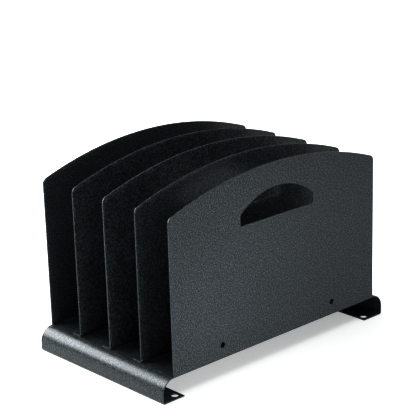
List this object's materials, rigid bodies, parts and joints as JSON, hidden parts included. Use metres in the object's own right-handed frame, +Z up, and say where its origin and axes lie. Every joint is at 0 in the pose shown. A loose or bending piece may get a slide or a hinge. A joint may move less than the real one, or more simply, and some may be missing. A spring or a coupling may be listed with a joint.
{
  "type": "desktop file rack",
  "caption": "Free-standing sheet-steel file rack: arched upright dividers with hand openings, on a bent base whose sides roll down to screw-down feet.",
  "frame": {"origin": "on the floor, under the middle of the base's footprint", "axes": "+X to the right along the front panel, +Y from the front panel to the back panel, +Z up"},
  "size_m": [0.298, 0.18, 0.1953],
  "materials": {
    "powder_coat": "fine-textured charcoal black powder coat"
  },
  "bodies": {
    "root": {"base": "powder_coat", "front_panel": "powder_coat", "divider_front": "powder_coat", "divider_middle": "powder_coat", "divider_rear": "powder_coat", "back_panel": "powder_coat"}
  },
  "joints": []
}
